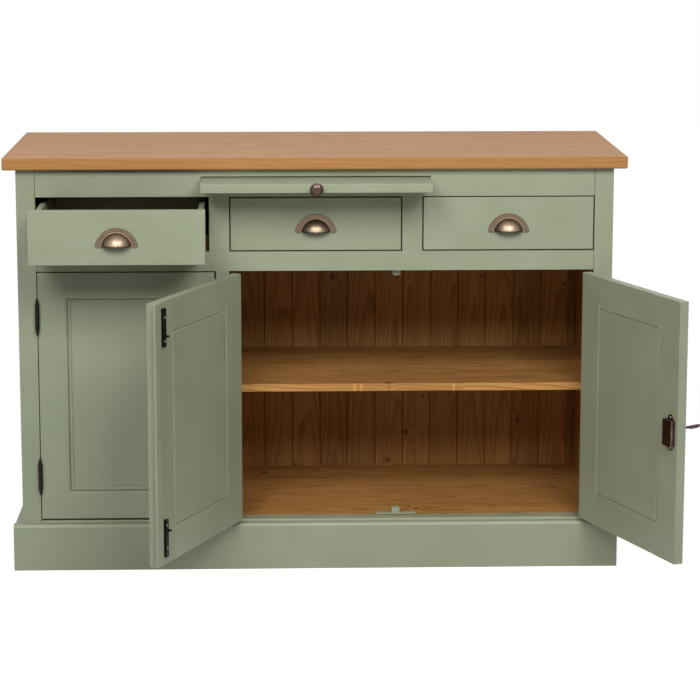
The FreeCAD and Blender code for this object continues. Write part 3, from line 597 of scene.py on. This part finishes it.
def draw_back(board, gaps, shut):
    """Draws the faces of a board back from its neighbours, by a gap along each axis of the shut piece."""
    for axis, gap in enumerate(gaps):
        spots = [shut @ vertex.co for vertex in board.verts]
        low = min(spot[axis] for spot in spots)
        high = max(spot[axis] for spot in spots)
        for vertex, spot in zip(board.verts, spots):
            if high - spot[axis] < END_ZONE:
                spot[axis] -= gap
            elif spot[axis] - low < END_ZONE:
                spot[axis] += gap
            vertex.co = shut.inverted() @ spot


print("edge helpers ready")

# %% [markdown]
# ## The boards themselves
# Now the whole joinery is made in one loop: each wooden node becomes a piece with eased arrises, grain and
# its finish. The side panels are painted only on the outside, so their inner faces are bare pine, and the
# floor's front edge has its olive-brown colour. The pine inside is made darker as painted shade, most of all
# what is hidden behind the drawers. Some arrises, round the panels and on the bottom rail, are planed wider
# and are paler than the rest, partly as rubbed wear and partly as a painted highlight.

# %% Make the boards
WOOD = {"green_paint": paint, "pine_top": top_pine, "inside_pine": inside_pine}
SECOND = {"side_panels": [inside_pine], "bottom_board": [olive_edge_pine]}
EASE = {"green_paint": 0.35 * MM, "pine_top": 0.4 * MM, "inside_pine": 0.5 * MM}
WIDE = {"back_boards": 1.7 * MM, "left_door_panel": 1.5 * MM, "middle_door_panel": 1.5 * MM,
        "right_door_panel": 1.5 * MM, "top_rail": 0.9 * MM, "top_board": 1.0 * MM, "bottom_rail": 1.6 * MM}
# paler arrises: rubbed wear and a painted highlight; on the bottom rail's top mostly a painted highlight
RUB_AND_HIGHLIGHT = {"middle_door_panel": 0.9, "right_door_panel": 0.4, "bottom_rail": 0.45}
RUB_AND_HIGHLIGHT_ELSEWHERE = 0.12
GLUED = ("top_board", "shelves", "bottom_board")
# painted shade: the pine inside is made darker, most of all where it lies behind the drawers
HIDDEN_PAINTED_SHADE = 4.0
INSIDE_PAINTED_SHADE = {"back_boards": 1.0, "shelves": 0.8, "bottom_board": 0.8, "dust_board": HIDDEN_PAINTED_SHADE,
       "drawer_guides": HIDDEN_PAINTED_SHADE, "board_runners": HIDDEN_PAINTED_SHADE}
# painted light on the shelf's sawn front edge, painted shade on the top's front edge
PAINTED_EDGE_LIGHT_AND_SHADE = {"shelves": 1.9, "top_board": -1.2}
RAIL_GAP = (0.8 * MM, 0.0, 0.0)
FRONT_GAP = (0.3 * MM, 0.0, 0.3 * MM)
GAPS = {"top_rail": RAIL_GAP, "middle_rail": RAIL_GAP, "bottom_rail": RAIL_GAP,
        "meeting_strip": (0.0, 0.15 * MM, 0.0)}
for side in SIDES:
    INSIDE_PAINTED_SHADE[f"{side}_drawer_bottom"] = HIDDEN_PAINTED_SHADE
    GAPS[f"{side}_drawer_front"] = FRONT_GAP
lengths = []


def prepare_board(node, board):
    """Chamfers the frame of a door along its panel, and makes the top's edges crisp."""
    if node.endswith(("_door_stiles", "_door_rails")):
        chamfer(board, node.split("_")[0], closing(body_of[node]))
    if node == "top_board":
        square(board)


def dress_board(node, board, number):
    """Gives one board of a node its own grain and the edges that are its own."""
    shut = closing(body_of[node])
    chance = random.Random(f"{node} {number}")
    # the inside pine is darkened here as painted shade
    lengths.append(lay_grain(board, shut, chance, node in GLUED, INSIDE_PAINTED_SHADE.get(node, 0.0)))
    # painted light on the shelf's front edge, painted shade on the top's
    sawn_edges(board, PAINTED_EDGE_LIGHT_AND_SHADE.get(node, 0.0))
    if node == "shelves":
        lath_ends(board)
    if node == "plinth_boards":
        paint_slope_highlight(board)
    draw_back(board, GAPS.get(node, ()), shut)


def has_second(node, face):
    """Whether a face is the bare inside of a side panel or the olive-brown front edge of the floor."""
    if node == "side_panels":
        return face.normal.x * face.calc_center_median().x < 0
    return node == "bottom_board" and face.normal.y < -SAWN


for node in sorted(nodes):
    slot = nodes[node].data.materials[0].name
    if slot not in WOOD or node.endswith("_moulding"):
        continue
    width = WIDE.get(node, EASE[slot])
    boards = gathered(node, width, RUB_AND_HIGHLIGHT.get(node, RUB_AND_HIGHLIGHT_ELSEWHERE), prepare_board, dress_board)
    for face in boards.faces:
        face.material_index = int(has_second(node, face))
    soften(boards)
    finishes = [WOOD[slot]] + SECOND.get(node, [])
    wooden = show(f"{node}_wood", body_of[node], finishes, boards, [node])
    wooden.modifiers.new("flat_faces_stay_flat", "WEIGHTED_NORMAL").keep_sharp = True
print("lengths of wood:", sum(lengths))

# %% [markdown]
# ## Door mouldings
# A moulding is planted in the rebate around each panel: a quarter round, a narrow quirk that always lies in
# shade, a flatter round and a fillet down to the panel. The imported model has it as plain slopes, so the fine
# profile is drawn here. One rectangle of corners is made for each point of the profile, and joining the
# rectangles gives four strips whose mitres fit by themselves.

# %% Door mouldings
MOULDING_DEPTH = 9.0  # in mm, as all sizes of the profile are
OVOLO = 6.2
START_SINK = 0.5
QUIRK = (8.4, 2.2)  # depth and width
ROUND = (5.4, 5.2, 3.0)  # depth of its start, width and fall
MOULDING_WIDTH = 15.5
ROUND_STEPS = 6


def moulding_profile():
    """Points of the profile as (way in from the rebate's edge, depth below the door's face), in mm."""
    turns = [math.radians(90 * step / ROUND_STEPS) for step in range(ROUND_STEPS + 1)]
    points = [(OVOLO * math.sin(t), START_SINK + OVOLO * (1 - math.cos(t))) for t in turns]
    floor, width = QUIRK
    points += [(OVOLO, floor), (OVOLO + width, floor)]
    high, wide, drop = ROUND
    points += [(OVOLO + width + wide * math.sin(t), high + drop * (1 - math.cos(t))) for t in turns]
    return points + [(MOULDING_WIDTH, high + drop), (MOULDING_WIDTH, MOULDING_DEPTH), (0.0, MOULDING_DEPTH)]


for side in SIDES:
    node = f"{side}_door_moulding"
    shut = closing(body_of[node])
    low, high = extent([shut @ nodes[node].matrix_world @ vertex.co for vertex in nodes[node].data.vertices])
    ring = bmesh.new()
    loops = []
    for way, depth in moulding_profile():
        y = high.y - (MOULDING_DEPTH - depth) * MM
        x0, x1 = low.x + way * MM, high.x - way * MM
        z0, z1 = low.z + way * MM, high.z - way * MM
        corners = ((x0, y, z0), (x1, y, z0), (x1, y, z1), (x0, y, z1))
        loops.append([ring.verts.new(corner) for corner in corners])
    for here, there in zip(loops, loops[1:] + loops[:1]):
        for corner in range(4):
            following = (corner + 1) % 4
            ring.faces.new((here[corner], here[following], there[following], there[corner]))
    bmesh.ops.recalc_face_normals(ring, faces=ring.faces)
    ring.faces.layers.float.new("edge")
    bmesh.ops.transform(ring, matrix=shut.inverted(), verts=ring.verts)
    lay_grain(ring, shut, random.Random(node), False, 0.0)
    soften(ring)
    show(f"{side}_door_planted_moulding", body_of[node], [paint], ring, [node])

# %% [markdown]
# ## Cup pulls
# Each drawer has a half-round cast pull: a flat flange with rounded feet, a fine raised ridge and a hollow
# half dome that the fingers hook under. All of it is one outline turned by half a turn, so it is made like
# lathe work with spin, given a wall with Solidify, and its wear and a painted reflection are written on the
# vertices: brightest on the worn ridge, bright in the middle of the dome as worn metal and painted highlight,
# darker towards the dome's edges as painted reflection, and darkest at the lip as painted shade.

# %% Cup pulls
FLANGE = 2.5 * MM
FLANGE_WIDTH = 14.4 * MM
FLANGE_RIM = 0.7
FLANGE_POINTS = (0.06, 0.2, 0.4, 0.6, 0.75)
RIDGE = 1.8 * MM
WALL = 1.6 * MM
DOME_LIFT = 3.0 * MM
DOME_CUT = 2.6 * MM
FOOT_LIFT = 3.5 * MM
FOOT_ROUND = 4.0 * MM
FOOT_ZONE = 14.0 * MM
LIP = 3.0 * MM
# wear levels: the lip and the dome's edges are painted shade, the dome's middle a painted highlight
FLANGE_WEAR, RIDGE_WEAR, LIP_PAINTED_SHADE, DOME_DARKEST = 0.5, 1.0, 0.2, 0.25
RIDGE_ZONE = (0.2, 1.5)  # in radii of the ridge
BRIGHT_NARROW = 0.85
BRIGHT_LIFT = 0.2  # in radii of the dome
WEAR_AND_REFLECTION_FADE = 0.8
PULL_STEPS = 48
DOME_STEPS = 12
RIDGE_STEPS = 6


def lathe(maker, outline, angle, steps):
    """Spins an outline of (radius, height) points about the Y axis, height towards -Y; a full turn closes."""
    vertices = [maker.verts.new((radius, -height, 0.0)) for radius, height in outline]
    edges = [maker.edges.new(pair) for pair in zip(vertices, vertices[1:])]
    bmesh.ops.spin(maker, geom=vertices + edges, cent=(0, 0, 0), axis=(0, -1, 0), angle=angle, steps=steps,
                   use_merge=angle > math.pi)
    bmesh.ops.remove_doubles(maker, verts=maker.verts, dist=MERGE)
    bmesh.ops.recalc_face_normals(maker, faces=maker.faces)


def arc(centre, radius, start, end, steps):
    """Points of an arc in (radius, height), angles in degrees."""
    turns = [math.radians(start + (end - start) * step / steps) for step in range(steps + 1)]
    return [(centre[0] + radius * math.cos(turn), centre[1] + radius * math.sin(turn)) for turn in turns]


def cup_pull(side):
    """One cup pull on its drawer front."""
    node = f"{side}_cup_pull"
    low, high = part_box(node)
    reach = (high.x - low.x) / 2
    depth = high.y - low.y
    root = reach - FLANGE_WIDTH
    ball = (root ** 2 + (depth - FLANGE) ** 2) / (2 * (depth - FLANGE))
    rise = math.degrees(math.asin((ball - depth + FLANGE) / ball))
    flange = [(reach, 0.0), (reach, FLANGE * FLANGE_RIM)]
    flange += [(reach - FLANGE_WIDTH * share, FLANGE) for share in FLANGE_POINTS]
    ridge = arc((root + RIDGE, FLANGE), RIDGE, 0, 180, RIDGE_STEPS)
    dome = arc((0.0, depth - ball), ball, rise, 90, DOME_STEPS)
    outline = flange + ridge + dome[1:-1] + [(0.0, depth)]
    maker = bmesh.new()
    lathe(maker, outline, math.pi, PULL_STEPS)
    wear = maker.verts.layers.float.new("wear")
    half = FLANGE_WIDTH / 2
    # wear and painted reflection: bright middle of the dome, darker edges, and painted shade at the lip
    for vertex in maker.verts:
        radius = math.hypot(vertex.co.x, vertex.co.z)
        if radius > root + RIDGE_ZONE[1] * RIDGE:
            vertex[wear] = FLANGE_WEAR
        elif radius > root + RIDGE_ZONE[0] * RIDGE:
            vertex[wear] = RIDGE_WEAR
        elif vertex.co.z < LIP:
            vertex[wear] = LIP_PAINTED_SHADE
        else:
            middle = math.hypot(BRIGHT_NARROW * vertex.co.x / root, vertex.co.z / root - BRIGHT_LIFT)
            vertex[wear] = max(DOME_DARKEST, 1.0 - WEAR_AND_REFLECTION_FADE * middle)
        if radius > root - MERGE and vertex.co.z < FOOT_ZONE:
            off = max(-1.0, min(1.0, (radius - root - half) / half))
            end = FOOT_LIFT + FOOT_ROUND * (1.0 - math.sqrt(1.0 - off ** 2))
            end -= DOME_LIFT * (reach - radius) / FLANGE_WIDTH
            vertex.co.z = end + vertex.co.z * (1.0 - end / FOOT_ZONE)
        elif radius < root:
            vertex.co.z += DOME_CUT * (1.0 - vertex.co.z / root)
        vertex.co.z += DOME_LIFT * min(1.0, (reach - radius) / FLANGE_WIDTH)
    if max(maker.faces, key=lambda face: -face.calc_center_median().y).normal.y > 0:
        bmesh.ops.reverse_faces(maker, faces=maker.faces)
    bmesh.ops.translate(maker, vec=((low.x + high.x) / 2, high.y, low.z), verts=maker.verts)
    soften(maker)
    pull = show(f"{side}_drawer_pull", body_of[node], [antique_bronze], maker, [node])
    wall = pull.modifiers.new("wall", "SOLIDIFY")
    wall.thickness = WALL
    wall.offset = -1.0


for side in SIDES:
    cup_pull(side)

# %% [markdown]
# ## The board's knob
# The pull-out board has one small turned knob: a foot, a slim neck and a round head with a fine ring on its
# face. It is a full turn of one outline, closed on itself, and the outline is written in shares of the packed
# knob's radius and length.

# %% Knob
KNOB_OUTLINE = [(0.0, 0.0), (0.58, 0.0), (0.58, 0.07), (0.54, 0.1), (0.42, 0.14), (0.37, 0.24),
                (0.38, 0.38), (0.46, 0.48), (0.66, 0.55), (0.88, 0.61), (0.98, 0.68), (1.0, 0.76),
                (0.97, 0.83), (0.9, 0.88), (0.83, 0.9), (0.8, 0.87), (0.76, 0.88), (0.7, 0.91),
                (0.55, 0.95), (0.36, 0.98), (0.18, 0.995), (0.0, 1.0)]
KNOB_STEPS = 56
low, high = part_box("board_knob")
head = (high.x - low.x) / 2
long = high.y - low.y
knob = bmesh.new()
lathe(knob, [(radius * head, height * long) for radius, height in KNOB_OUTLINE], 2 * math.pi, KNOB_STEPS)
bmesh.ops.translate(knob, vec=((low.x + high.x) / 2, high.y, (low.z + high.z) / 2), verts=knob.verts)
soften(knob)
show("turned_knob", body_of["board_knob"], [dark_bronze], knob, ["board_knob"])

# %% [markdown]
# ## Hinges, bolts, locks and keys
# The small iron and bronze pieces are cast, sawn and filed, so no edge of theirs is knife sharp. Copies of
# the imported solids have the right size already, and a narrow bevel on each edge is made paler, for the bare
# filed metal and for a painted highlight along it. Modelling them again would only risk the fit of the pins
# and bars. Only the bows of the keys are changed: each stands turned a little further about its round shank.

# %% Filed metal copies
METAL = {"dark_bronze": dark_bronze, "black_iron": black_iron}
FILED = {"dark_bronze": 0.6 * MM, "black_iron": 0.35 * MM}
# filed edges are paler: bare filed metal and a painted highlight
FILED_RUB_AND_HIGHLIGHT = 1.0
TURNED_LATER = ("board_knob", "hinge_pins")
BOW = 28.4 * MM
BOW_TWIST = math.radians(11)


def twist_bow(node, solid, number):
    """Turns the bow of a key a little further about its shank, which is round there."""
    if not node.endswith("_key"):
        return
    shut = closing(node.replace("_key", "_door"))
    front = min((shut @ vertex.co).y for vertex in solid.verts)
    bow = [vertex for vertex in solid.verts if (shut @ vertex.co).y < front + BOW]
    low, high = extent([shut @ vertex.co for vertex in bow])
    twist = Matrix.Rotation(BOW_TWIST, 3, "Y")
    bmesh.ops.rotate(solid, verts=bow, cent=(low + high) / 2, matrix=twist, space=shut)


for node in sorted(nodes):
    slot = nodes[node].data.materials[0].name
    if slot not in METAL or node in TURNED_LATER:
        continue
    filed = gathered(node, FILED[slot], FILED_RUB_AND_HIGHLIGHT, None, twist_bow)
    soften(filed)
    fitting = show(f"{node}_metal", body_of[node], [METAL[slot]], filed, [node])
    fitting.modifiers.new("flat_faces_stay_flat", "WEIGHTED_NORMAL").keep_sharp = True

# %% [markdown]
# ## Hinge pins with finials
# Each hinge turns on a loose pin with a turned finial at both ends: a collar, a groove and a drop that ends
# in a blunt point. Such a form is lathe work, so one outline is spun about the pin and set where the packed
# pin stands.

# %% Hinge pins
PIN = 2.5 * MM
COLLAR = 30.3 * MM
FINIAL = [(4.3, 0.0), (4.3, 1.0), (3.3, 1.6), (3.3, 2.3), (3.7, 3.5), (3.3, 6.0), (2.5, 9.0), (1.7, 11.8),
          (1.1, 13.2), (0.0, 13.7)]
PIN_STEPS = 24

upper = [(radius * MM, COLLAR + height * MM) for radius, height in FINIAL]
lower = [(radius, -height) for radius, height in reversed(upper)]
turned = []
for packed_pin in solids("hinge_pins"):
    low, high = extent([vertex.co for vertex in packed_pin.verts])
    packed_pin.free()
    pin = bmesh.new()
    lathe(pin, lower + [(PIN, -COLLAR), (PIN, COLLAR)] + upper, 2 * math.pi, PIN_STEPS)
    bmesh.ops.rotate(pin, cent=(0, 0, 0), matrix=Matrix.Rotation(-math.pi / 2, 3, "X"), verts=pin.verts)
    bmesh.ops.translate(pin, vec=(low + high) / 2, verts=pin.verts)
    turned.append(pin)
pins = joined(turned)
soften(pins)
show("turned_hinge_pins", body_of["hinge_pins"], [black_iron], pins, ["hinge_pins"])

# %% [markdown]
# ## Screw heads
# The locks are held by a slotted round-head screw in each lug, and the covers of the bolts by two small ones.
# A head is a shallow dome of one turn, with the slot cut by two planes and pushed in. Each is made at the
# origin, set on the shut door, and then swung open with it.

# %% Screws
LOCK_SCREW = (3.4 * MM, 1.5 * MM)  # radius and height of a head, as for the next one
COVER_SCREW = (2.5 * MM, 1.0 * MM)
LUG = 7 * MM
LUG_WALL = 1.5 * MM
COVER_SCREWS = (19 * MM, 70 * MM)
SLOT_SHARE = 0.28
SCREW_STEPS = 20
SCREW_DOME_STEPS = 5


def screw(size, seat, shut):
    """One slotted dome head that points along +Y from its seat on the shut door, swung open with it."""
    radius, height = size
    head = bmesh.new()
    ball = (radius ** 2 + height ** 2) / (2 * height)
    rise = math.degrees(math.asin((ball - height) / ball))
    dome = arc((0.0, height - ball), ball, rise, 90, SCREW_DOME_STEPS)
    lathe(head, [(0.0, 0.0)] + dome, 2 * math.pi, SCREW_STEPS)
    half_slot = radius * SLOT_SHARE / 2
    for side in (-half_slot, half_slot):
        whole = head.verts[:] + head.edges[:] + head.faces[:]
        bmesh.ops.bisect_plane(head, geom=whole, dist=MERGE, plane_co=(0, 0, side), plane_no=(0, 0, 1))
    slot = [f for f in head.faces if abs(f.calc_center_median().z) < half_slot and f.normal.y < -0.1]
    dug = bmesh.ops.extrude_face_region(head, geom=slot)
    floor_verts = [part for part in dug["geom"] if isinstance(part, bmesh.types.BMVert)]
    bmesh.ops.translate(head, vec=(0, height / 2, 0), verts=floor_verts)
    place = shut.inverted() @ Matrix.Translation(seat) @ Matrix.Rotation(math.pi, 4, "Z")
    bmesh.ops.transform(head, matrix=place, verts=head.verts)
    return head


def screws(name, body, heads):
    """Joins screw heads in one piece of a body."""
    all_heads = joined(heads)
    soften(all_heads)
    show(name, body, [screw_steel], all_heads)


for side in ("left", "right"):
    shut = closing(f"{side}_door")
    case = solids(f"{side}_lock_case")[0]
    low, high = extent([shut @ vertex.co for vertex in case.verts])
    middle = (low.x + high.x) / 2
    seats = [Vector((middle, low.y + LUG_WALL, height)) for height in (low.z + LUG, high.z - LUG)]
    screws(f"{side}_lock_screws", f"{side}_door", [screw(LOCK_SCREW, seat, shut) for seat in seats])

shut = closing("middle_door")
strip_low, strip_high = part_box("meeting_strip")
heads = []
for case in solids("bolt_cases"):
    low, high = extent([shut @ vertex.co for vertex in case.verts])
    upwards = low.z > (strip_low.z + strip_high.z) / 2
    for reach in COVER_SCREWS:
        seat = Vector(((low.x + high.x) / 2, high.y, high.z - reach if upwards else low.z + reach))
        heads.append(screw(COVER_SCREW, seat, shut))
screws("bolt_cover_screws", "middle_door", heads)

# %% [markdown]
# ## A pale studio
# The floor and the background are white. A white world at full strength would light the inside of the
# cupboard as well, so the white shows only to the camera and in reflections, through Light Path, and rises
# to full white away from the object, where no horizon should be seen. Near the object the floor still takes
# light, so that the shadow stays.

# %% Floor and world
FLOOR_HALF = 9.0
FLOOR_GLOW = 0.9
GLOW_NEAR = 1.6
GLOW_FAR = 4.0
FILL = 0.015
WHITE = linear("#FFFFFF")


def seen_by_eye(tree):
    """A socket that is 1 for camera, mirror and glass rays, and 0 for rays that only carry light."""
    path = add(tree, "ShaderNodeLightPath")
    direct = add(tree, "ShaderNodeMath", {"operation": "ADD"},
                 {0: path.outputs["Is Camera Ray"], 1: path.outputs["Is Glossy Ray"]})
    seen = add(tree, "ShaderNodeMath", {"operation": "ADD", "use_clamp": True},
               {0: direct.outputs[0], 1: path.outputs["Is Transmission Ray"]})
    return seen.outputs[0]


ground = bmesh.new()
bmesh.ops.create_grid(ground, x_segments=2, y_segments=2, size=FLOOR_HALF)
floor_mesh = bpy.data.meshes.new("studio_floor")
ground.to_mesh(floor_mesh)
ground.free()
studio_floor = bpy.data.objects.new("studio_floor", floor_mesh)
scene.collection.objects.link(studio_floor)

white_floor, tree, shader = new_finish("white_studio_floor")
shader.inputs["Roughness"].default_value = 0.9
shader.inputs["Specular IOR Level"].default_value = 0.0
shader.inputs["Base Color"].default_value = linear("#B3B3B3")
spot = add(tree, "ShaderNodeTexCoord").outputs["Object"]
away = add(tree, "ShaderNodeVectorMath", {"operation": "LENGTH"}, {0: spot})
rising = add(tree, "ShaderNodeMapRange",
             {"From Min": GLOW_NEAR, "From Max": GLOW_FAR, "To Min": FLOOR_GLOW, "To Max": 1.0},
             {"Value": away.outputs["Value"]})
glow = add(tree, "ShaderNodeMath", {"operation": "MULTIPLY"},
           {0: seen_by_eye(tree), 1: rising.outputs["Result"]})
shader.inputs["Emission Color"].default_value = WHITE
tree.links.new(glow.outputs[0], shader.inputs["Emission Strength"])
floor_mesh.materials.append(white_floor)

world = bpy.data.worlds.new("pale_studio")
scene.world = world
world.use_nodes = True
tree = world.node_tree
tree.nodes.clear()
fill = add(tree, "ShaderNodeBackground", {"Color": WHITE, "Strength": FILL})
white = add(tree, "ShaderNodeBackground", {"Color": WHITE, "Strength": 1.0})
both = add(tree, "ShaderNodeMixShader", None, {0: seen_by_eye(tree), 1: fill.outputs[0], 2: white.outputs[0]})
add(tree, "ShaderNodeOutputWorld", None, {"Surface": both.outputs[0]})
print("floor and world ready")

# %% [markdown]
# ## Soft lamps
# Two soft boxes stand in front, left and right, well above the top: the soft shadows under the drawer, the
# board and the doors tell where they are. A weak one hangs overhead and lights the top. Small lamps would
# throw hard shadows, and stronger ones would wash out the paint.

# %% Lamps
FRONT_BOX = 1.75
CEILING_BOX = 2.5
FRONT_AIM = (0.0, -0.2, 0.5)
CEILING_AIM = (0.0, 0.2, 0.0)


def soft_lamp(name, place, target, size, power):
    """A square soft lamp that looks at a point."""
    lamp = bpy.data.lights.new(name, "AREA")
    lamp.shape = "SQUARE"
    lamp.size = size
    lamp.energy = power
    holder = bpy.data.objects.new(name, lamp)
    holder.location = place
    holder.rotation_euler = (Vector(target) - Vector(place)).to_track_quat("-Z", "Y").to_euler()
    holder.visible_camera = False
    scene.collection.objects.link(holder)


soft_lamp("right_softbox", (1.2, -3.5, 3.0), FRONT_AIM, FRONT_BOX, power=86)
soft_lamp("left_softbox", (-1.2, -3.5, 3.0), FRONT_AIM, FRONT_BOX, power=78)
soft_lamp("ceiling_softbox", (0.0, 0.2, 3.6), CEILING_AIM, CEILING_BOX, power=15)
print("lamps:", [light.name for light in bpy.data.lights])

# %% [markdown]
# ## The camera
# The photograph was taken from the front, slightly above the top and a little to the left of the middle,
# with a long lens whose frame was shifted down. Position, turn and lens were found by matching known corners
# of the object, and they are written here as plain sizes.

# %% Camera
EYE = Vector((-80.5, -5430.8, 1577.7)) * MM
YAW = math.radians(1.74)
PITCH = math.radians(-9.42)
ROLL = math.radians(0.04)
SENSOR = 36.0
FOCAL_LENGTH = 119.7
FRAME_SHIFT = -0.13
lens = bpy.data.cameras.new("photo_camera")
lens.sensor_width = SENSOR
lens.lens = FOCAL_LENGTH
lens.shift_y = FRAME_SHIFT
camera = bpy.data.objects.new("photo_camera", lens)
level = Matrix.Rotation(-YAW, 4, "Z") @ Matrix.Rotation(math.pi / 2 + PITCH, 4, "X")
camera.matrix_world = Matrix.Translation(EYE) @ level @ Matrix.Rotation(ROLL, 4, "Z")
scene.collection.objects.link(camera)
scene.camera = camera
scene.view_settings.view_transform = "Standard"
print("camera at", [round(c, 3) for c in camera.location])
